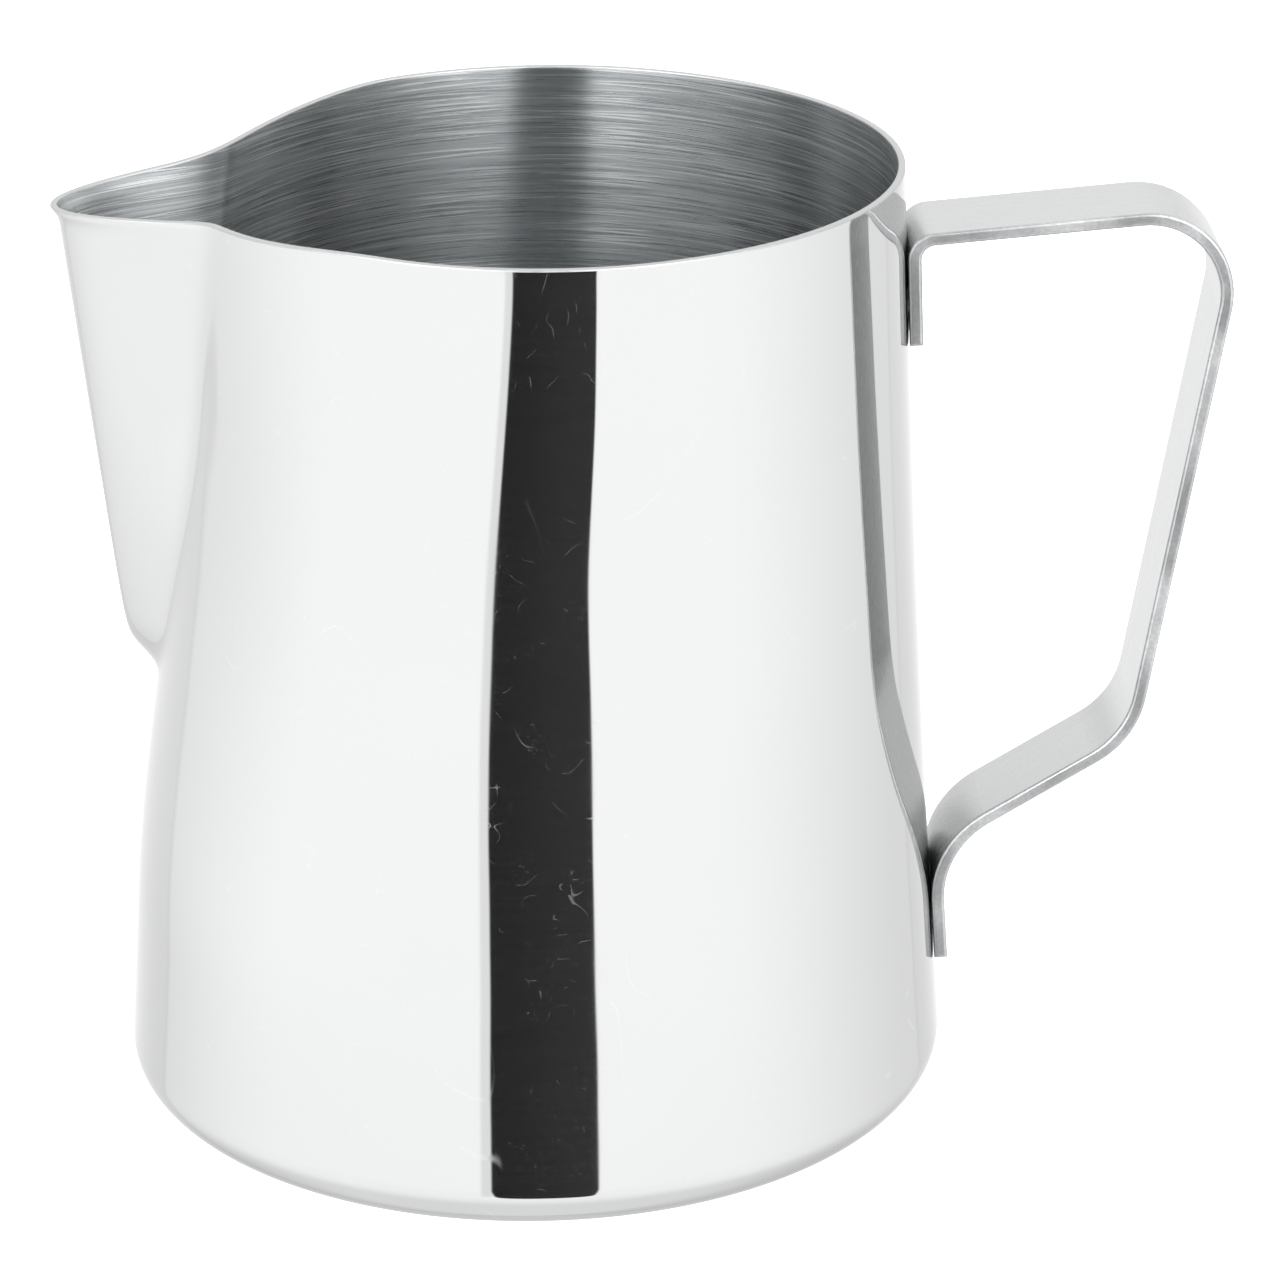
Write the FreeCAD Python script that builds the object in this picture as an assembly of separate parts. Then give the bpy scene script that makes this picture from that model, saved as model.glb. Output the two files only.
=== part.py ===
"""Milk frothing pitcher: a drawn steel body with a pressed spout, and a handle bent from flat
strip, joined to the wall by four weld nuggets.

Millimetres. The origin is the centre of the base, on the surface that the pitcher stands on.
+Z is up, the handle points along +X and the spout along -X.
"""
import FreeCAD, Part
import math
import os
from FreeCAD import Vector

# Body: a tapered cup drawn from one sheet
height = 108.0          # base to the level part of the rim
base_radius = 47.60     # the wall's line carried down to the base plane
rim_radius = 41.78
wall_hollow = 2.45      # four times the wall's inward bow at mid-height
sheet = 0.8             # thickness of the drawn sheet
corner_radius = 4.3     # outside bend between base and wall

# Spout: pressed outwards, which pulls the wall beside it inwards and the rim downwards
pull_depth = 4.4        # how far the wall beside the spout is pulled in
pull_flat = 25.0        # degrees from the keel over which the pull is complete
near_start, near_full = 22.0, 85.0      # heights where the pull beside the keel begins and is complete
near_end = 75.0         # degrees from the keel where that has died out
far_start, far_full = 45.0, 105.0       # the same heights for the pull further round the wall
far_power, far_softness = 1.5, 0.06     # how it grows between them, and how softly it stops
far_end_low, far_end_high = 96.0, 108.0     # degrees where it has died out, low down and at the rim
far_widens = (66.0, 96.0)               # heights between which that changes
keel_reach = 51.3       # distance from the axis to the keel at keel_height
keel_height = 100.0
keel_lean = 0.108       # outward lean of the keel, per millimetre of height
heel_reach, heel_height = 43.2, 49.6    # where the keel runs back into the wall
heel_lean = 1.05        # slope of the keel's lower end
heel_softness = 1.5
rise_softness = 0.25    # blend of the keel's lower end into the wall
crease_angle_mid, crease_height_mid = 12.6, 60.0    # degrees from the keel to the crease
crease_spread = 0.3     # degrees by which the crease moves out per millimetre of height
heel_narrowing = 0.5    # share of the crease angle left at the spout's lower end
heel_opens = (47.0, 56.0)               # heights over which the spout opens to its full angle
tip_roundness = 0.10    # roundness of the keel across the spout, as a share of the crease angle
tip_opening = 0.54      # roundness added at the rim, where the spout opens out
crease_softness = 0.25  # the same for the crease
flank_power_low, flank_power_rise = 1.15, 0.9   # how dished the flanks are, low down and added at the rim
flanks_dish = (66.0, 100.0)             # heights between which both additions grow
lip_flare = 1.0         # how far the pouring lip rolls outwards
lip_depth = 2.2         # height of that roll
lip_width = 9.0         # degrees either side of the keel
rim_dip = 2.6           # drop of the rim beside the spout
rim_dip_start, rim_dip_end = 15.5, 40.5     # distances from the axis over which it drops
tip_fall, tip_fall_start = 0.09, 34.0      # further slope of the rim along the spout

# Handle: one strip, its mid-line given by corners with a bend at each
strip_width = 13.0
strip_thickness = 1.5
strip_edge_radius = 0.4
tab_gap = 0.1           # between the tabs and the wall
tab_press = 0.35        # depth to which the wall's curve is pressed into the tabs
upper_tab_end, lower_tab_end = 88.0, 13.4   # heights of the strip's two ends
shoulder_height = 100.07                    # bend from the upper tab into the top run
knuckle = (79.05, 103.27)                   # bend from the top run into the grip
elbow = (68.32, 40.92)                      # bend from the grip into the lower run
ankle_height = 27.4                         # bend from the lower run into the lower tab
shoulder_bend, knuckle_bend, elbow_bend, ankle_bend = 2.35, 8.95, 10.75, 11.25

# Weld nuggets: fused discs that bridge each tab and the wall
nugget_radius = 1.6
nugget_bite = 0.3       # how far a nugget reaches into the sheet and into the strip
nugget_offset = 3.4     # distance of each nugget from the strip's centre line
upper_weld_height, lower_weld_height = 92.4, 17.6
dimple_radius, dimple_depth = 2.2, 0.12     # electrode marks on the outside of the tabs

# Cross-sections that the body's skins are lofted through
spout_half_steps, handle_half_steps = 60, 24
spout_side_share = 0.35     # share of even spacing; the rest crowds the points towards the keel
section_stretches = ((44.0, 8), (57.5, 9), (96.0, 11), (110.0, 14))    # top and number of sections
rim_cut_steps = 60
tab_levels = 6              # points on the curve of the wall that the tabs are pressed to


def smooth_step(low, high, value):
    """0 below low, 1 above high, with a smooth rise between."""
    t = min(max((value - low) / (high - low), 0.0), 1.0)
    return t * t * (3.0 - 2.0 * t)


def soft_positive(value, softness):
    """value where it is positive and 0 where it is negative, with a rounded turn."""
    return 0.5 * (value + math.sqrt(value * value + softness * softness))


def wall_radius(z):
    """Outer radius of the round cup at a height."""
    u = z / height
    return base_radius - (base_radius - rim_radius + wall_hollow) * u + wall_hollow * u * u


def fade(angle, end):
    """1 near the keel, falling along half a cosine wave to 0 at an angle of end degrees."""
    t = min(max((abs(angle) - pull_flat) / (end - pull_flat), 0.0), 1.0)
    return 0.5 + 0.5 * math.cos(math.pi * t)


def wall_pull(angle, z):
    """How far pressing the spout draws the wall in; angle is in degrees from the keel."""
    climb = 1.0 - soft_positive((far_full - z) / (far_full - far_start), far_softness)
    far = max(climb, 0.0) ** far_power
    near = smooth_step(near_start, near_full, z) - far
    far_end = far_end_low + (far_end_high - far_end_low) * smooth_step(*far_widens, z)
    return pull_depth * (near * fade(angle, near_end) + far * fade(angle, far_end))


def keel(z):
    """Distance from the axis to the keel: a leaning line that turns into the wall at the heel."""
    line = keel_reach - keel_lean * (keel_height - z)
    heel = heel_reach + heel_lean * (z - heel_height)
    return line - soft_positive(line - heel, heel_softness)


def crease_angle(z):
    """Degrees from the keel to the crease where the spout's flank meets the wall."""
    straight = crease_angle_mid + crease_spread * (z - crease_height_mid)
    return straight * (heel_narrowing + (1.0 - heel_narrowing) * smooth_step(*heel_opens, z))


def spout_share(q, z):
    """Height of the spout's cross-section as a share of its keel; q is 0 there, 1 at the crease."""
    opened = smooth_step(*flanks_dish, z)
    e = tip_roundness + tip_opening * opened
    ramp = 1.0 - (math.sqrt(q * q + e * e) - e) / (math.sqrt(1.0 + e * e) - e)
    power = flank_power_low + flank_power_rise * opened
    return (soft_positive(ramp, crease_softness) / soft_positive(1.0, crease_softness)) ** power


def rim_height(x):
    """Height of the rim, which is level on the handle side and falls towards the spout."""
    drop = rim_dip * smooth_step(rim_dip_start, rim_dip_end, -x)
    return height - drop - tip_fall * max(-x - tip_fall_start, 0.0)


def outer_radius(angle, z):
    """Distance from the axis to the body's outer face, at an angle in degrees from the keel."""
    wall = wall_radius(z) - wall_pull(angle, z)
    rise = soft_positive(keel(z) - (wall_radius(z) - wall_pull(0.0, z)), rise_softness)
    radius = wall + rise * spout_share(angle / crease_angle(z), z)
    below_rim = rim_height(-radius * math.cos(math.radians(angle))) - z
    roll = min(max(1.0 - below_rim / lip_depth, 0.0), 1.3) ** 2
    return radius + lip_flare * roll * math.exp(-(angle / lip_width) ** 2)


def outer_point(angle, z):
    a = math.radians(angle)
    r = outer_radius(angle, z)
    return Vector(-r * math.cos(a), r * math.sin(a), z)


def section_normal(angle, z):
    """Outward unit normal of the level cross-section."""
    along = outer_point(angle + 0.05, z) - outer_point(angle - 0.05, z)
    return Vector(-along.y, along.x, 0.0).normalize()


def section_angles():
    """Degrees from the keel, starting and ending at the handle and crowded towards the keel."""
    steps = [2.0 * i / spout_half_steps - 1.0 for i in range(spout_half_steps + 1)]
    spout_half = [90.0 * (spout_side_share * s + (1.0 - spout_side_share) * s**3) for s in steps]
    handle_half = [90.0 + 180.0 * i / handle_half_steps for i in range(1, handle_half_steps)]
    return sorted(a - 360.0 if a > 180.0 else a for a in spout_half + handle_half)


def section_heights():
    """Heights of the cross-sections, which are closest together at the heel and near the rim."""
    heights = [0.0]
    for top, count in section_stretches:
        bottom = heights[-1]
        heights += [bottom + (top - bottom) * (i + 1) / count for i in range(count)]
    return heights


def cup_form(inset):
    """The solid inside one skin of the body, flat-topped above the rim."""
    sections = []
    for height_here in section_heights():
        z = max(height_here, inset)
        curve = Part.BSplineCurve()
        curve.interpolate(Points=[outer_point(a, z) - section_normal(a, z) * inset
                                  for a in section_angles()], PeriodicFlag=True)
        sections.append(Part.Wire(curve.toShape()))
    form = Part.makeLoft(sections, True)
    base_edge = [e for e in form.Edges if e.BoundBox.ZMax < inset + 0.01]
    return form.makeFillet(corner_radius - inset, base_edge)


def above_rim():
    """Everything above the rim, which is a curved cut seen square from the side."""
    reach = 1.5 * base_radius
    steps = [reach * (1.0 - 2.0 * i / rim_cut_steps) for i in range(rim_cut_steps + 1)]
    cut_line = Part.BSplineCurve()
    cut_line.interpolate([Vector(x, -reach, rim_height(x)) for x in steps])
    ends = [cut_line.StartPoint, cut_line.EndPoint]
    tops = [Vector(p.x, p.y, 1.5 * height) for p in ends]
    outline = Part.Wire([cut_line.toShape(), Part.makeLine(ends[1], tops[1]),
                         Part.makeLine(tops[1], tops[0]), Part.makeLine(tops[0], ends[0])])
    return Part.Face(outline).extrude(Vector(0, 2 * reach, 0))


def pitcher_body():
    return cup_form(0.0).cut([cup_form(sheet), above_rim()])


def tab_middle(z):
    """The upper and lower tabs' mid-line follows the wall."""
    return wall_radius(z) + tab_gap - tab_press + strip_thickness / 2


def round_wall(beyond):
    """The plain round cup as a solid, larger all round by the given distance."""
    levels = [height * i / tab_levels for i in range(tab_levels + 1)]
    skin = Part.BSplineCurve()
    skin.interpolate([Vector(wall_radius(z) + beyond, 0, z) for z in levels])
    bottom, top = Vector(0, 0, 0), Vector(0, 0, height)
    sides = [Part.makeLine(bottom, skin.StartPoint), skin.toShape(),
             Part.makeLine(skin.EndPoint, top), Part.makeLine(top, bottom)]
    return Part.Face(Part.Wire(sides)).revolve(Vector(0, 0, 0), Vector(0, 0, 1), 360)


def strip_corners():
    return [(tab_middle(upper_tab_end), upper_tab_end), (tab_middle(shoulder_height), shoulder_height),
            knuckle, elbow, (tab_middle(ankle_height), ankle_height),
            (tab_middle(lower_tab_end), lower_tab_end)]


def side_line(corners, offset):
    """The corners of a line that runs beside the mid-line, on its left for a positive offset."""
    lines = []
    for (x0, z0), (x1, z1) in zip(corners, corners[1:]):
        length = math.hypot(x1 - x0, z1 - z0)
        shift = Vector(-(z1 - z0) / length, 0, (x1 - x0) / length) * offset
        lines.append((Vector(x0, 0, z0) + shift, Vector(x1, 0, z1) + shift))
    points = [lines[0][0]]
    for (a, b), (c, d) in zip(lines, lines[1:]):
        along, other, apart = b - a, d - c, c - a
        share = (apart.x * other.z - apart.z * other.x) / (along.x * other.z - along.z * other.x)
        points.append(a + along * share)
    return points + [lines[-1][1]]


def bent_edges(points, bends):
    """Straight runs between the points, with an arc of the given radius at each inner point."""
    edges, start = [], points[0]
    for before, corner, after, bend in zip(points, points[1:], points[2:], bends):
        back, onward = (before - corner).normalize(), (after - corner).normalize()
        half = math.acos(back.dot(onward)) / 2
        centre = corner + (back + onward).normalize() * (bend / math.sin(half))
        middle = centre + (corner - centre).normalize() * bend
        enter, leave = (corner + d * (bend / math.tan(half)) for d in (back, onward))
        edges += [Part.makeLine(start, enter), Part.Arc(enter, middle, leave).toShape()]
        start = leave
    return edges + [Part.makeLine(start, points[-1])]


def handle_strip():
    corners, half = strip_corners(), strip_thickness / 2
    bends = [shoulder_bend, knuckle_bend, elbow_bend, ankle_bend]
    outside_turn = [1, 1, 1, -1]     # the first three bends turn right, and the ankle turns left
    left, right = side_line(corners, half), side_line(corners, -half)
    left_edges = bent_edges(left, [b + half * t for b, t in zip(bends, outside_turn)])
    right_edges = bent_edges(right, [b - half * t for b, t in zip(bends, outside_turn)])
    ends = [Part.makeLine(left[0], right[0]), Part.makeLine(left[-1], right[-1])]
    outline = Part.Wire(Part.__sortEdges__(left_edges + right_edges + ends))
    strip = Part.Face(outline).extrude(Vector(0, strip_width, 0))
    strip.translate(Vector(0, -strip_width / 2, 0))
    rims = [e for e in strip.Edges if e.BoundBox.YLength < 1e-6]
    return strip.makeFillet(strip_edge_radius, rims).cut(round_wall(tab_gap))


def wall_direction(z):
    """Unit vector square to the tab at a height, pointing away from the body."""
    lean = (tab_middle(z + 1.0) - tab_middle(z - 1.0)) / 2.0
    return Vector(1.0, 0, -lean).normalize()


def weld_nugget(side, z):
    outward = wall_direction(z)
    start = Vector(wall_radius(z), side * nugget_offset, z)
    gap_here = wall_radius(z) - math.sqrt(wall_radius(z) ** 2 - nugget_offset**2)
    start -= outward * (gap_here + nugget_bite)
    return Part.makeCylinder(nugget_radius, gap_here + tab_gap + 2 * nugget_bite, start, outward)


def electrode_mark(side, z):
    outward = wall_direction(z)
    face = Vector(tab_middle(z), side * nugget_offset, z) + outward * (strip_thickness / 2)
    sphere_radius = (dimple_radius**2 + dimple_depth**2) / (2 * dimple_depth)
    sphere = Part.makeSphere(sphere_radius, face + outward * (sphere_radius - dimple_depth))
    start = face - outward * (2 * dimple_depth)
    return sphere.common(Part.makeCylinder(2 * dimple_radius, 4 * dimple_depth, start, outward))


def main():
    os.makedirs("parts", exist_ok=True)
    body, handle = pitcher_body(), handle_strip()
    nodes = {}
    for level, z in (("upper", upper_weld_height), ("lower", lower_weld_height)):
        for name, side in (("left", -1), ("right", 1)):
            nugget = weld_nugget(side, z)
            nodes[f"weld_{level}_{name}"] = nugget
            body = body.cut(nugget)
            handle = handle.cut([nugget, electrode_mark(side, z)])
    nodes["pitcher_body"], nodes["handle_strip"] = body, handle
    for name, shape in nodes.items():
        solid = shape.Solids[0]
        solid.exportStep(f"parts/{name}.step")
        box = solid.optimalBoundingBox()
        print(f"{name}: {solid.Volume:.1f} mm3, solids {len(shape.Solids)}, valid {solid.isValid()}, "
              f"x {box.XMin:.2f} {box.XMax:.2f}, y {box.YMin:.2f} {box.YMax:.2f}, "
              f"z {box.ZMin:.2f} {box.ZMax:.2f}")


main()
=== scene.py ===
"""Milk frothing pitcher: the looks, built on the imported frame.

Metres. The frame's origin is the centre of the base, with the handle along +X, the spout along
-X and +Z up. The body's skin is a formula in millimetres, as in the CAD model, and is scaled to
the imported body's height.
"""

import math

import bpy
import numpy as np
from mathutils import Matrix, Vector


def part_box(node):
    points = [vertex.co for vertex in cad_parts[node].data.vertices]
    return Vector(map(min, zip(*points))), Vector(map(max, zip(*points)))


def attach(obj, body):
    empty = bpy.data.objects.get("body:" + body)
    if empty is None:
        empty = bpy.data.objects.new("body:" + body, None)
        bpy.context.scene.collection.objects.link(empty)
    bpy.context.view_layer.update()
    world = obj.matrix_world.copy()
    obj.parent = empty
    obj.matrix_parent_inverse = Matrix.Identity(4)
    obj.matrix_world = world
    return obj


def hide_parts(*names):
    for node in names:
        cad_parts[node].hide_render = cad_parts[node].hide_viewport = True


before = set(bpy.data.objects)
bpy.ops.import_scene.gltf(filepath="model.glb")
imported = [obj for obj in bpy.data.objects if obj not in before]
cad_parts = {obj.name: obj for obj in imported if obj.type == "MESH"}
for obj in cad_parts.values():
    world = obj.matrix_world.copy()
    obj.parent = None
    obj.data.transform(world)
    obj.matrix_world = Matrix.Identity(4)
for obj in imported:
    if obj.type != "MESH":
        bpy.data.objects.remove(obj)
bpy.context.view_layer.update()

# Body form, in millimetres and degrees: see wall_radius(), wall_pull(), keel() and spout_share()
height = 108.0
base_radius, rim_radius, wall_hollow = 47.60, 41.78, 2.45
corner_radius = 4.3
pull_depth, pull_flat = 4.4, 25.0
near_start, near_full, near_end = 22.0, 85.0, 75.0
far_start, far_full, far_power, far_softness = 45.0, 105.0, 1.5, 0.06
far_end_low, far_end_high, far_widens = 96.0, 108.0, (66.0, 96.0)
keel_reach, keel_height, keel_lean = 51.3, 100.0, 0.108
heel_reach, heel_height, heel_lean, heel_softness, rise_softness = 43.2, 49.6, 1.05, 1.5, 0.25
crease_angle_mid, crease_height_mid, crease_spread, heel_narrowing = 12.6, 60.0, 0.3, 0.5
heel_opens, flanks_dish = (47.0, 56.0), (66.0, 100.0)
tip_roundness, tip_opening, crease_softness = 0.10, 0.54, 0.25
flank_power_low, flank_power_rise = 1.15, 0.9
lip_flare, lip_depth, lip_width, lip_limit = 1.0, 2.2, 9.0, 1.3
rim_dip, rim_dip_start, rim_dip_end = 2.6, 15.5, 40.5
tip_fall, tip_fall_start = 0.09, 34.0
sheet = 0.8
rim_round, rim_power = 0.25, 0.6        # height of the rim's rounding; a power under 1 squares it
pitcher_low, pitcher_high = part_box("pitcher_body")
unit = (pitcher_high[2] - pitcher_low[2]) / height      # metres per millimetre of the form

# Mesh fineness
columns_spout, columns_handle = 320, 160
spout_even_share = 0.4      # share of even spacing; the rest crowds the columns towards the keel
rows_wall, rows_bend, rows_rim, rings_floor = 150, 12, 10, 14
settling_rounds = 12        # more than enough for the foot's and the rim's heights to settle
normal_step = 0.02          # degrees to each side when a normal is measured

# Camera: where it stands and its nearest sight, in millimetres; its turns and its view, in degrees
camera_place = (0.0, -511.0, 252.0)
camera_yaw, camera_pitch, camera_roll = 1.39, -21.46, -0.22
camera_angle = 15.19
camera_near = 10.0

# Room: levels of light, and directions in degrees (turn from the front, to the right; climb from
# level). The walls are brightest in front, have a seam at each side and darken towards the floor.
front_middle, front_fades = -10.0, (60.0, 143.0)    # this far from its middle
front_light, side_light = 1.5, 1.2
seam_middle, seam_half, seam_edge = 4.5, 133.5, 1.5
seam_width, seam_depth = 2.0, 0.08
back_light, back_brightens = (1.16, 1.29), 30.0     # from the seam to this far behind it
low_wall, low_wall_share = (-24.0, -16.0), 0.94
lower_wall, lower_wall_share = (-50.0, -24.0), 0.78
level_blend = 4.0                                   # the walls turn into lamps this near to level

# Lamps in front, below the ceiling; turns to the left count less, so that they reach further there
lamp_light, lamp_middle, lamp_fades, lamp_top_fades = 5.2, 5.0, (15.0, 72.0), (26.0, 46.0)
lamp_left_share = 0.72
ceiling_light, ceiling_climbs = (1.02, 1.27), (10.0, 22.0)

# Gap that the camera looks through: its middle and its half width, each below and above level,
# the height of that change, and its lower end
gap_middle, gap_half, gap_change, gap_end = (1.8, -2.4), (14.8, 14.4), 6.0, -26.0
gap_side_power, gap_end_power, gap_softness = 6.0, 9.0, 0.15
gap_glimmer = (0.022, 0.04)                         # at its left and at its right
gap_top_light, gap_top_climb = 0.52, 8.0

# Grey fringe left of the gap: place and widths in half widths of the gap, the share of light that
# it takes, and the share of the gap's depth below level at which it starts to fade
fringe_place, fringe_widths, fringe_shade, fringe_fades = 1.08, (0.05, 0.14), 0.2, 0.8

# Floor: half its width in metres, its glow, and its grey
floor_half, floor_glow, floor_grey = 3.0, 0.9, 0.8

# Steel colours, as linear red, green and blue
polished_low, polished_high = (0.592, 0.595, 0.597), (0.61, 0.612, 0.613)
polished_edge = (0.85, 0.85, 0.85, 1)
rim_low, rim_high = (0.46, 0.465, 0.465), (0.56, 0.565, 0.565)
stroke_low, stroke_high = (0.40, 0.42, 0.43), (0.70, 0.72, 0.73)
# The brightest stroke colour below is a painted highlight: lighter than the steel itself, it stands
# for light caught along the strokes
stroke_dark, stroke_glint = (0.36, 0.375, 0.38), (0.88, 0.89, 0.89)
face_low, face_high, face_dull = (0.54, 0.545, 0.547), (0.575, 0.58, 0.58), (0.46, 0.465, 0.467)
side_low, side_high, side_scuffed = (0.46, 0.47, 0.475), (0.60, 0.61, 0.615), (0.27, 0.28, 0.285)
weld_low, weld_high = (0.42, 0.40, 0.38), (0.34, 0.30, 0.27)

# Brushing inside the cup, in millimetres: how the strokes stray from level, and the heights between
# which the rings on the floor give way to level strokes
wander_size, wander_depth = 40.0, 0.4
ring_heights, ring_reaches = (4.0, 14.0), (60.0, 36.0)

degrees_per_radian = math.degrees(1.0)


def smooth_step(low, high, value):
    t = np.clip((value - low) / (high - low), 0.0, 1.0)
    return t * t * (3.0 - 2.0 * t)


def soft_positive(value, softness):
    return 0.5 * (value + np.sqrt(value * value + softness * softness))


def wall_radius(z):
    """Outer radius of the round cup at a height."""
    u = z / height
    return base_radius - (base_radius - rim_radius + wall_hollow) * u + wall_hollow * u * u


def fade(angle, end):
    """1 near the keel, falling along half a cosine wave to 0 at an angle of end degrees."""
    t = np.clip((np.abs(angle) - pull_flat) / (end - pull_flat), 0.0, 1.0)
    return 0.5 + 0.5 * np.cos(math.pi * t)


def wall_pull(angle, z):
    """How far pressing the spout draws the wall in; angle is in degrees from the keel."""
    climb = 1.0 - soft_positive((far_full - z) / (far_full - far_start), far_softness)
    far = np.maximum(climb, 0.0) ** far_power
    near = smooth_step(near_start, near_full, z) - far
    far_end = far_end_low + (far_end_high - far_end_low) * smooth_step(*far_widens, z)
    return pull_depth * (near * fade(angle, near_end) + far * fade(angle, far_end))


def keel(z):
    """Distance from the axis to the keel: a leaning line that turns into the wall at the heel."""
    line = keel_reach - keel_lean * (keel_height - z)
    heel = heel_reach + heel_lean * (z - heel_height)
    return line - soft_positive(line - heel, heel_softness)


def crease_angle(z):
    """Degrees from the keel to the crease where the spout's flank meets the wall."""
    straight = crease_angle_mid + crease_spread * (z - crease_height_mid)
    return straight * (heel_narrowing + (1.0 - heel_narrowing) * smooth_step(*heel_opens, z))


def spout_share(q, z):
    """Height of the spout's cross-section as a share of its keel; q is 0 there, 1 at the crease."""
    opened = smooth_step(*flanks_dish, z)
    e = tip_roundness + tip_opening * opened
    ramp = 1.0 - (np.sqrt(q * q + e * e) - e) / (np.sqrt(1.0 + e * e) - e)
    power = flank_power_low + flank_power_rise * opened
    return (soft_positive(ramp, crease_softness) / soft_positive(1.0, crease_softness)) ** power


def rim_height(x):
    """Height of the rim, which is level on the handle side and falls towards the spout."""
    drop = rim_dip * smooth_step(rim_dip_start, rim_dip_end, -x)
    return height - drop - tip_fall * np.maximum(-x - tip_fall_start, 0.0)


def outer_radius(angle, z):
    """Distance from the axis to the body's outer face, at an angle in degrees from the keel."""
    wall = wall_radius(z) - wall_pull(angle, z)
    rise = soft_positive(keel(z) - (wall_radius(z) - wall_pull(0.0, z)), rise_softness)
    radius = wall + rise * spout_share(angle / crease_angle(z), z)
    below_rim = rim_height(-radius * np.cos(np.radians(angle))) - z
    roll = np.clip(1.0 - below_rim / lip_depth, 0.0, lip_limit) ** 2
    return radius + lip_flare * roll * np.exp(-(angle / lip_width) ** 2)


def outer_point(angle, z):
    a = np.radians(angle)
    r = outer_radius(angle, z)
    return np.stack([-r * np.cos(a), r * np.sin(a), z + 0.0 * r], axis=-1)


def level_normal(angle, z):
    """Outward unit normal of the level cross-section."""
    along = outer_point(angle + normal_step, z) - outer_point(angle - normal_step, z)
    across = np.stack([-along[..., 1], along[..., 0], np.zeros_like(along[..., 0])], axis=-1)
    return across / np.linalg.norm(across, axis=-1, keepdims=True)


def column_angles():
    """Degrees from the keel, all the way round and crowded towards the keel."""
    s = np.linspace(-1.0, 1.0, columns_spout + 1)
    spout_half = 90.0 * (spout_even_share * s + (1.0 - spout_even_share) * s**3)
    handle_half = np.linspace(90.0, 270.0, columns_handle + 1)[1:-1]
    angles = np.concatenate([spout_half, handle_half])
    return np.where(angles > 180.0, angles - 360.0, angles)


def wall_foot():
    """Height and lean where the bend around the floor touches the wall."""
    z = corner_radius
    for _ in range(settling_rounds):
        narrowing = base_radius - rim_radius + wall_hollow - 2 * wall_hollow * z / height
        lean = math.atan(narrowing / height)
        z = corner_radius * (1.0 + math.sin(lean))
    return z, lean


def skin_rows(angles, inset):
    """Rings of points from the centre of the floor, around the bend and up the wall."""
    foot, lean = wall_foot()
    bend = corner_radius - inset
    back = np.stack([np.cos(np.radians(angles)), -np.sin(np.radians(angles)), 0 * angles], axis=-1)
    centre = outer_point(angles, np.full_like(angles, foot)) + back * corner_radius * math.cos(lean)
    rows = []
    for i in range(1, rings_floor):
        ring = centre * (i / rings_floor)
        ring[:, 2] = inset
        rows.append(ring)
    for i in range(rows_bend):
        turn = -math.pi / 2 + (lean + math.pi / 2) * i / rows_bend
        ring = centre - back * bend * math.cos(turn)
        ring[:, 2] = corner_radius + bend * math.sin(turn)
        rows.append(ring)
    top = np.full_like(angles, height)
    for _ in range(settling_rounds):
        top = rim_height(outer_point(angles, top)[:, 0]) - rim_round
    for i in range(rows_wall + 1):
        z = foot + (top - foot) * i / rows_wall
        rows.append(outer_point(angles, z) - level_normal(angles, z) * inset)
    return rows, top


def rim_rows(angles, top):
    """Rings of points across the cut edge of the sheet, from the outside to the inside."""
    normal = level_normal(angles, top)
    middle = outer_point(angles, top) - normal * (sheet / 2)
    rows = []
    for i in range(1, rows_rim):
        turn = math.pi * i / rows_rim
        across = math.copysign(abs(math.cos(turn)) ** rim_power, math.cos(turn)) * sheet / 2
        above = math.sin(turn) ** rim_power * rim_round
        rows.append(middle + normal * across + np.array([0, 0, above]))
    return rows


def skin_faces(row_count, count):
    """Faces over rows of count points, closed at both ends by a fan round a single point."""
    faces = []
    for j in range(count):
        faces.append((0, 1 + j, 1 + (j + 1) % count))
    for r in range(row_count - 1):
        low = 1 + r * count
        for j in range(count):
            k = (j + 1) % count
            faces.append((low + j, low + count + j, low + count + k, low + k))
    last, end = 1 + (row_count - 1) * count, 1 + row_count * count
    for j in range(count):
        faces.append((last + j, end, last + (j + 1) % count))
    return faces


def body_mesh():
    """The whole body as one closed mesh: outside, cut rim with softened edges, and inside."""
    angles = column_angles()
    count = len(angles)
    outside, top = skin_rows(angles, 0.0)
    inside, _ = skin_rows(angles, sheet)
    rim = rim_rows(angles, top)
    rows = outside + rim + inside[::-1]
    points = np.concatenate([[[0, 0, 0]]] + rows + [[[0, 0, sheet]]]) * unit
    faces = skin_faces(len(rows), count)
    mesh = bpy.data.meshes.new("pitcher_shell")
    mesh.from_pydata(points.tolist(), [], faces)
    mesh.polygons.foreach_set("use_smooth", [True] * len(faces))
    row = np.array([(min(face) - 1) // count for face in faces])
    outer_faces, rim_faces = row < len(outside) - 1, row < len(outside) + len(rim)
    mesh.polygons.foreach_set("material_index", np.where(outer_faces, 0, np.where(rim_faces, 2, 1)))
    mesh.update()
    return mesh


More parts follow.
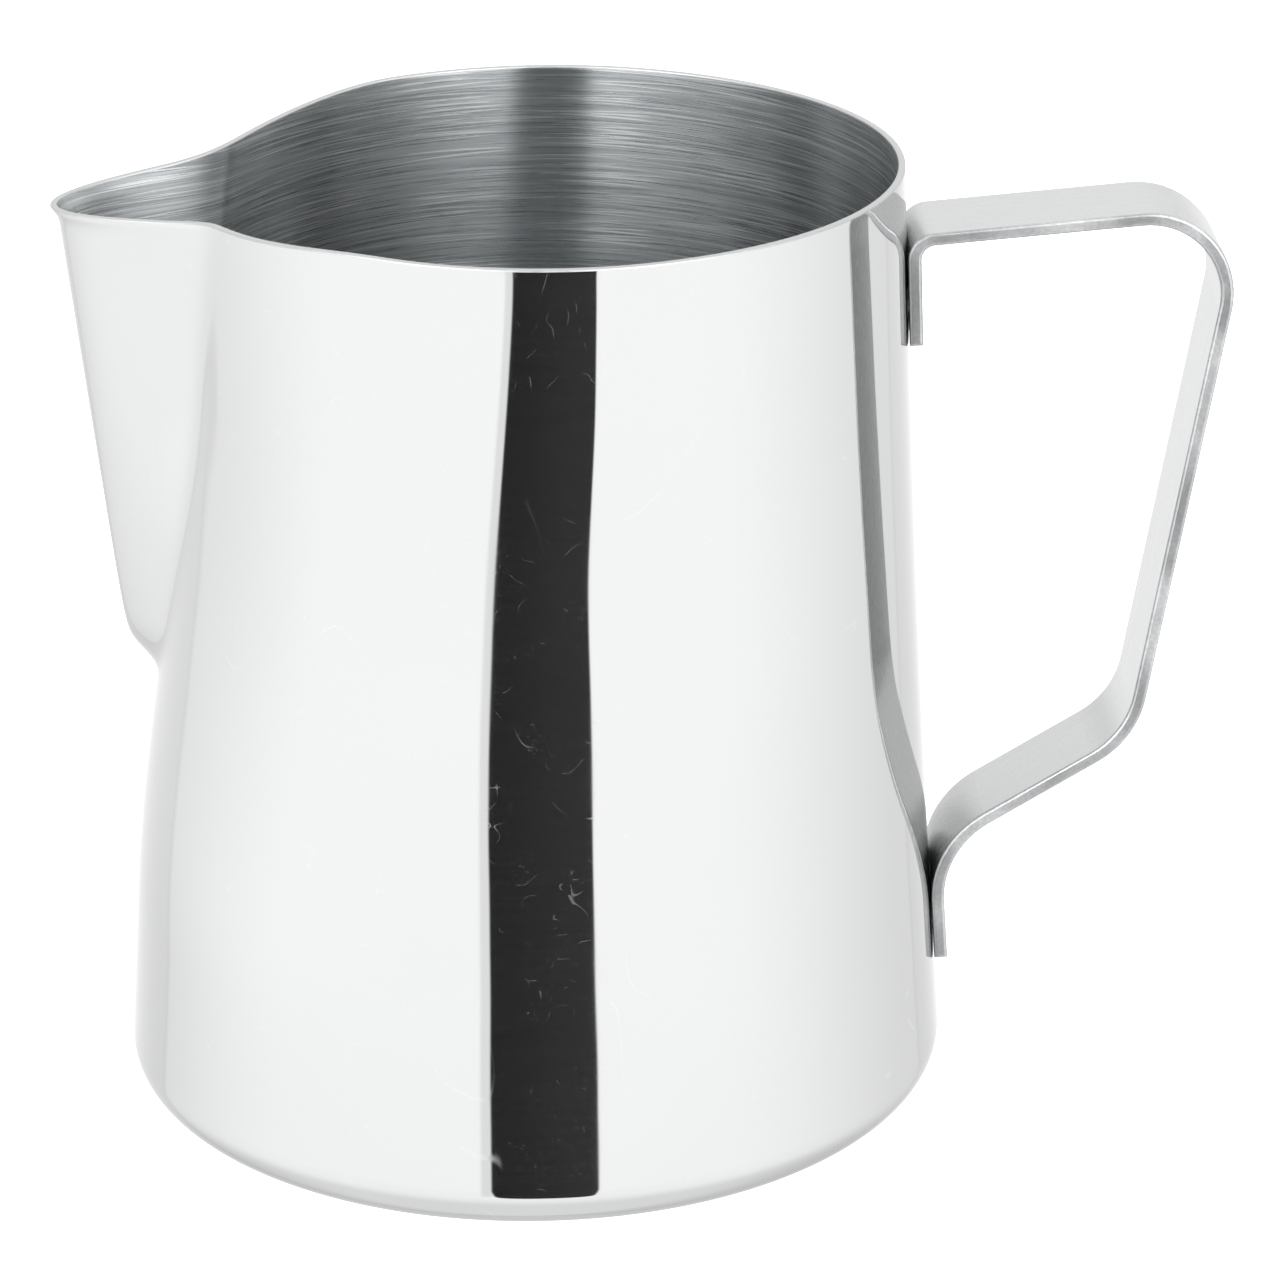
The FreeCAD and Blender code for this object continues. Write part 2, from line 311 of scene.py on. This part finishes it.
class Nodes:
    """Short calls for building the nodes of a material or of the world."""

    def __init__(self, owner, shader):
        owner.use_nodes = True
        self.owner = owner
        self.tree = owner.node_tree
        self.shader = self.tree.nodes[shader]

    def add(self, kind, **properties):
        node = self.tree.nodes.new(kind)
        for key, value in properties.items():
            setattr(node, key, value)
        return node

    def feed(self, target, value):
        """Links an output to a socket, or sets the socket to a plain value."""
        if isinstance(value, bpy.types.NodeSocket):
            self.tree.links.new(value, target)
        else:
            target.default_value = value

    def set(self, **values):
        """Sets or links the shader's sockets; a name's underscores stand for spaces."""
        for key, value in values.items():
            self.feed(self.shader.inputs[key.replace("_", " ")], value)

    def math(self, operation, *values):
        node = self.add("ShaderNodeMath", operation=operation)
        for socket, value in zip(node.inputs, values):
            self.feed(socket, value)
        return node.outputs[0]

    def place(self, scale=(1, 1, 1)):
        """The point on the object, in millimetres, stretched by scale."""
        coordinates = self.add("ShaderNodeTexCoord")
        node = self.add("ShaderNodeVectorMath", operation="MULTIPLY")
        self.feed(node.inputs[0], coordinates.outputs["Object"])
        node.inputs[1].default_value = [1000.0 * value for value in scale]
        return node.outputs[0]

    def split(self, vector):
        node = self.add("ShaderNodeSeparateXYZ")
        self.feed(node.inputs[0], vector)
        return node.outputs[0], node.outputs[1], node.outputs[2]

    def join(self, x, y, z):
        node = self.add("ShaderNodeCombineXYZ")
        for socket, value in zip(node.inputs, (x, y, z)):
            self.feed(socket, value)
        return node.outputs[0]

    def noise(self, vector, size, detail=2.0, roughness=0.5):
        """Noise from 0 to 1 whose features are about size millimetres across."""
        node = self.add("ShaderNodeTexNoise")
        self.feed(node.inputs["Vector"], vector)
        node.inputs["Scale"].default_value = 1.0 / size
        node.inputs["Detail"].default_value = detail
        node.inputs["Roughness"].default_value = roughness
        return node.outputs[0]

    def between(self, value, low, high, to_low=0.0, to_high=1.0):
        """value's range low to high, mapped to to_low to to_high and held at both ends."""
        node = self.add("ShaderNodeMapRange", interpolation_type="SMOOTHSTEP")
        for socket, number in zip(node.inputs, (value, low, high, to_low, to_high)):
            self.feed(socket, number)
        return node.outputs[0]

    def mix(self, share, first, second):
        node = self.add("ShaderNodeMix", data_type="RGBA")
        self.feed(node.inputs[0], share)
        self.feed(node.inputs[6], (*first, 1) if isinstance(first, tuple) else first)
        self.feed(node.inputs[7], (*second, 1) if isinstance(second, tuple) else second)
        return node.outputs[2]

    def bump(self, height, depth, below=None):
        """Bumps depth millimetres deep, on top of an earlier bump if one is given."""
        node = self.add("ShaderNodeBump")
        node.inputs["Distance"].default_value = depth * 0.001
        self.feed(node.inputs["Height"], height)
        if below is not None:
            self.feed(node.inputs["Normal"], below)
        return node.outputs[0]


def material(name):
    """The nodes of a new material."""
    return Nodes(bpy.data.materials.new(name), "Principled BSDF")


def hairlines(n, place, line_size, width, patch_size, patch_from):
    """Curved hairline scratches in patches; width and patch_from are levels of noise, not sizes."""
    field = n.noise(place, line_size, detail=0.0)
    line = n.between(n.math("ABSOLUTE", n.math("SUBTRACT", field, 0.5)), 0.0, width, 1.0, 0.0)
    broken = n.between(n.noise(place, line_size * 0.6, detail=0.0), 0.52, 0.62)
    patch = n.between(n.noise(place, patch_size, detail=1.0), patch_from, patch_from + 0.08)
    return n.math("MULTIPLY", n.math("MULTIPLY", line, broken), patch)


def polished_steel():
    """Mirror-polished sheet, with a faint wave, wiping haze and hairline scratches."""
    n = material("polished_steel")
    place = n.place()
    turned_lines = n.noise(n.place((0.04, 0.04, 1.0)), 0.25, detail=3.0)
    short = hairlines(n, place, 2.6, 0.008, 9.0, 0.5)
    fine = hairlines(n, place, 0.8, 0.02, 5.0, 0.55)
    long = hairlines(n, n.place((1, 1, 0.5)), 9.0, 0.0035, 16.0, 0.46)
    marks = n.math("MAXIMUM", n.math("MAXIMUM", short, long), n.math("MULTIPLY", fine, 0.5))
    haze = n.between(n.noise(place, 18.0, detail=3.0), 0.4, 0.75, 0.0, 0.02)
    rough = n.math("ADD", n.math("MULTIPLY", marks, 0.06), n.math("ADD", haze, 0.03))
    scatter = n.math("ADD", n.math("MULTIPLY", marks, 0.13), n.math("MULTIPLY", turned_lines, 0.012))
    tint = n.mix(n.noise(place, 30.0), polished_low, polished_high)
    wave = n.bump(n.noise(place, 24.0, detail=1.0), 0.06)
    n.set(Base_Color=tint, Metallic=n.math("SUBTRACT", 1.0, scatter), Roughness=rough,
          Specular_Tint=polished_edge, Normal=n.bump(turned_lines, 0.0004, wave))
    return n.owner


def trimmed_rim():
    """The cut edge of the sheet, trimmed round and smoothed but not polished."""
    n = material("trimmed_rim")
    fine = n.noise(n.place(), 0.8, detail=3.0)
    n.set(Base_Color=n.mix(fine, rim_low, rim_high), Metallic=1.0,
          Roughness=n.between(fine, 0.3, 0.7, 0.36, 0.46), Normal=n.bump(fine, 0.003))
    return n.owner


def strokes(n, tilt_x, tilt_y, stretch):
    """Coordinates drawn out round the cup: level strokes on its wall and rings on its floor.

    The tilts are how much the strokes climb across the cup, and a smaller stretch draws them longer.
    """
    x, y, z = n.split(n.place())
    radius = n.math("SQRT", n.math("ADD", n.math("MULTIPLY", x, x), n.math("MULTIPLY", y, y)))
    tilt = n.math("ADD", n.math("MULTIPLY", x, tilt_x), n.math("MULTIPLY", y, tilt_y))
    wander = n.math("MULTIPLY", n.noise(n.place(), wander_size, detail=1.0), wander_depth)
    reach = n.math("MINIMUM", radius, n.between(z, *ring_heights, *ring_reaches))
    height = n.math("ADD", n.math("ADD", z, reach), n.math("ADD", tilt, wander))
    return n.join(n.math("MULTIPLY", x, stretch), n.math("MULTIPLY", y, stretch), height)


def brushed_inside():
    """Steel brushed round and round, which draws its reflections out across the strokes; some strokes
    carry painted glints in their colour.
    """
    n = material("brushed_inside")
    body = n.noise(strokes(n, 0.01, 0.0, 0.01), 0.24, detail=4.0, roughness=0.75)
    broad = n.noise(strokes(n, 0.0, 0.01, 0.04), 1.8, detail=2.0)
    rising = n.noise(strokes(n, 0.03, 0.01, 0.008), 0.15, detail=0.0)
    falling = n.noise(strokes(n, -0.022, 0.015, 0.008), 0.15, detail=0.0)
    # Strokes that are grooves, bumped below, and whose catching of the light is also painted into the
    # colour as glints
    glinting_grooves = n.math("MAXIMUM", n.between(rising, 0.62, 0.74), n.between(falling, 0.62, 0.74))
    dark = n.between(n.noise(strokes(n, -0.012, 0.0, 0.02), 0.3, detail=1.0), 0.36, 0.24)
    patches = n.noise(n.place((1, 1, 1.5)), 10.0, detail=3.0)
    tone = n.mix(n.between(body, 0.42, 0.78), stroke_low, stroke_high)
    cloudy = n.mix(n.between(broad, 0.35, 0.65, 0.0, 0.4), tone, stroke_low)
    darker = n.mix(n.math("MULTIPLY", dark, 0.1), cloudy, stroke_dark)
    # Painted highlight: the glinting strokes lift the colour towards the brightest stroke colour
    color = n.mix(n.math("MULTIPLY", glinting_grooves, 0.7), darker, stroke_glint)
    rough = n.math("ADD", n.between(body, 0.3, 0.7, 0.24, 0.29), n.math("MULTIPLY", patches, 0.04))
    n.set(Base_Color=color, Metallic=1.0, Roughness=rough, Anisotropic=0.97, Anisotropic_Rotation=0.25,
          Normal=n.bump(glinting_grooves, 0.0008, n.bump(body, 0.003)),
          Tangent=n.add("ShaderNodeTangent", direction_type="RADIAL", axis="Z").outputs[0])
    return n.owner


def satin_strip():
    """Fine satin on the strip's faces, and rougher, mottled steel on its sheared side edges."""
    n = material("satin_strip")
    _, facing, _ = n.split(n.add("ShaderNodeTexCoord").outputs["Normal"])
    edge = n.between(n.math("ABSOLUTE", facing), 0.2, 0.7)
    lengthwise = n.noise(n.place((0.04, 1.0, 0.04)), 0.3, detail=3.0, roughness=0.65)
    mottle = n.noise(n.place(), 0.5, detail=4.0, roughness=0.6)
    worn = n.noise(n.place(), 9.0, detail=2.0)
    nicks = n.between(n.noise(n.place(), 1.0, detail=1.0), 0.7, 0.75)
    face = n.mix(n.between(lengthwise, 0.3, 0.7), face_low, face_high)
    side = n.mix(n.between(worn, 0.35, 0.65), side_low, side_high)
    scuffed = n.mix(n.between(mottle, 0.35, 0.65, 0.0, 0.3), side, side_scuffed)
    dulled = n.mix(n.between(mottle, 0.35, 0.7, 0.0, 0.12), face, face_dull)
    face_rough = n.between(lengthwise, 0.3, 0.7, 0.25, 0.32)
    side_rough = n.between(worn, 0.35, 0.65, 0.34, 0.46)
    rough = n.math("ADD", n.math("MULTIPLY", face_rough, n.math("SUBTRACT", 1.0, edge)),
                   n.math("MULTIPLY", side_rough, edge))
    grain = n.bump(mottle, 0.002, n.bump(lengthwise, 0.002))
    n.set(Base_Color=n.mix(edge, dulled, scuffed), Metallic=1.0, Roughness=rough,
          Normal=n.bump(n.math("MULTIPLY", nicks, edge), -0.01, grain))
    return n.owner


def weld_steel():
    """Fused metal, dull and tinted in patches by heat."""
    n = material("weld_steel")
    heat = n.noise(n.place(), 1.2, detail=3.0)
    color = n.mix(n.between(heat, 0.35, 0.65), weld_low, weld_high)
    n.set(Base_Color=color, Metallic=1.0, Roughness=n.between(heat, 0.3, 0.7, 0.35, 0.55),
          Normal=n.bump(n.noise(n.place(), 0.3, detail=3.0), 0.02))
    return n.owner


def make_body():
    """The cup in its three finishes, in the order of the mesh's material numbers."""
    mesh = body_mesh()
    body = bpy.data.objects.new("pitcher_shell", mesh)
    bpy.context.scene.collection.objects.link(body)
    for finish in (polished_steel, brushed_inside, trimmed_rim):
        mesh.materials.append(finish())
    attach(body, "root")
    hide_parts("pitcher_body")


def make_camera():
    data = bpy.data.cameras.new("camera")
    data.angle = math.radians(camera_angle)
    data.clip_start = camera_near * 0.001
    camera = bpy.data.objects.new("camera", data)
    bpy.context.scene.collection.objects.link(camera)
    turn = Matrix.Rotation(-math.radians(camera_yaw), 4, "Z")
    tilt = Matrix.Rotation(math.radians(90.0 + camera_pitch), 4, "X")
    roll = Matrix.Rotation(math.radians(camera_roll), 4, "Z")
    camera.matrix_world = Matrix.Translation(Vector(camera_place) * 0.001) @ turn @ tilt @ roll
    bpy.context.scene.camera = camera


def make_floor():
    """Pale paper that lights the pitcher a little from below; the steel sees the room instead."""
    paper = material("floor_paper")
    paper.set(Base_Color=(floor_grey, floor_grey, floor_grey, 1), Roughness=0.8,
              Specular_IOR_Level=0.0, Emission_Color=(1, 1, 1, 1), Emission_Strength=floor_glow)
    mesh = bpy.data.meshes.new("floor")
    mesh.from_pydata([(x, y, 0) for x, y in ((-1, -1), (1, -1), (1, 1), (-1, 1))], [], [(0, 1, 2, 3)])
    mesh.materials.append(paper.owner)
    floor = bpy.data.objects.new("floor", mesh)
    floor.scale = (floor_half, floor_half, 1)
    floor.visible_glossy = False
    bpy.context.scene.collection.objects.link(floor)


def wall_light(n, turn, climb):
    """Light of the room below level."""
    away = n.math("ABSOLUTE", n.math("SUBTRACT", turn, front_middle))
    seam = n.math("SUBTRACT", n.math("ABSOLUTE", n.math("SUBTRACT", turn, seam_middle)), seam_half)
    behind = n.between(seam, -seam_edge, seam_edge)
    crack = n.between(n.math("ABSOLUTE", seam), 0.0, seam_width, seam_depth, 0.0)
    sides = n.math("MULTIPLY", n.between(away, *front_fades, front_light, side_light),
                   n.math("SUBTRACT", 1.0, behind))
    back = n.math("MULTIPLY", behind, n.between(seam, 0.0, back_brightens, *back_light))
    walls = n.math("SUBTRACT", n.math("ADD", sides, back), crack)
    near_floor = n.math("MULTIPLY", n.between(climb, *low_wall, low_wall_share, 1.0),
                        n.between(climb, *lower_wall, lower_wall_share, 1.0))
    return n.math("MULTIPLY", walls, near_floor)


def lamp_and_ceiling_light(n, turn, climb):
    """Light of the room above level."""
    to_right = n.math("SUBTRACT", turn, lamp_middle)
    to_left = n.math("MULTIPLY", to_right, -lamp_left_share)
    beside_lamp = n.between(n.math("MAXIMUM", to_right, to_left), *lamp_fades)
    ceiling = n.between(climb, *ceiling_climbs, *ceiling_light)
    low_lamp = n.between(climb, *lamp_top_fades, 1.0, 0.0)
    lit = n.math("MULTIPLY", n.math("SUBTRACT", 1.0, beside_lamp), low_lamp)
    return n.math("ADD", n.math("MULTIPLY", lit, lamp_light),
                  n.math("MULTIPLY", n.math("SUBTRACT", 1.0, lit), ceiling))


def cut_gap(n, turn, climb, light):
    """The light of the room with the dark gap in front cut out of it."""
    middle = n.between(climb, -gap_change, gap_change, *gap_middle)
    half = n.between(climb, -gap_change, gap_change, *gap_half)
    across = n.math("DIVIDE", n.math("SUBTRACT", turn, middle), half)
    beside = n.math("POWER", n.math("ABSOLUTE", across), gap_side_power)
    under = n.math("MAXIMUM", n.math("DIVIDE", climb, gap_end), 0.0)
    below = n.math("POWER", under, gap_end_power)
    outside = n.between(n.math("ADD", beside, below), 1.0 - gap_softness, 1.0 + gap_softness)
    off_fringe = n.math("ABSOLUTE", n.math("ADD", across, fringe_place))
    left_fringe = n.between(off_fringe, *fringe_widths, fringe_shade, 0.0)
    fringe = n.math("MULTIPLY", left_fringe, n.between(under, fringe_fades, 1.0, 1.0, 0.0))
    shade = n.math("MULTIPLY", outside, n.math("MULTIPLY", light, n.math("SUBTRACT", 1.0, fringe)))
    gap_light = n.between(climb, 0.0, gap_top_climb, 0.0, gap_top_light)
    glimmer = n.math("ADD", n.between(across, -1.0, 1.0, *gap_glimmer), gap_light)
    return n.math("MAXIMUM", shade, glimmer)


def make_room():
    """A soft white room: walls below level, lamps and a ceiling above, and one dark gap."""
    scene = bpy.context.scene
    scene.view_settings.view_transform = "Standard"
    scene.world = bpy.data.worlds.new("room")
    n = Nodes(scene.world, "Background")
    x, y, z = n.split(n.add("ShaderNodeTexCoord").outputs["Generated"])
    turn = n.math("MULTIPLY", n.math("ARCTAN2", x, n.math("MULTIPLY", y, -1.0)), degrees_per_radian)
    climb = n.math("MULTIPLY", n.math("ARCSINE", z), degrees_per_radian)
    low = n.between(climb, -level_blend, level_blend, 1.0, 0.0)
    high = n.between(climb, -level_blend, level_blend)
    light = n.math("ADD", n.math("MULTIPLY", wall_light(n, turn, climb), low),
                   n.math("MULTIPLY", lamp_and_ceiling_light(n, turn, climb), high))
    n.set(Color=(1, 1, 1, 1), Strength=cut_gap(n, turn, climb, light))


def dress_cad_nodes():
    """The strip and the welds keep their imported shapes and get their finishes."""
    strip, weld = satin_strip(), weld_steel()
    for name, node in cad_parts.items():
        if name != "pitcher_body":
            node.data.materials.clear()
            node.data.materials.append(strip if name == "handle_strip" else weld)


make_camera()
make_body()
dress_cad_nodes()
make_floor()
make_room()
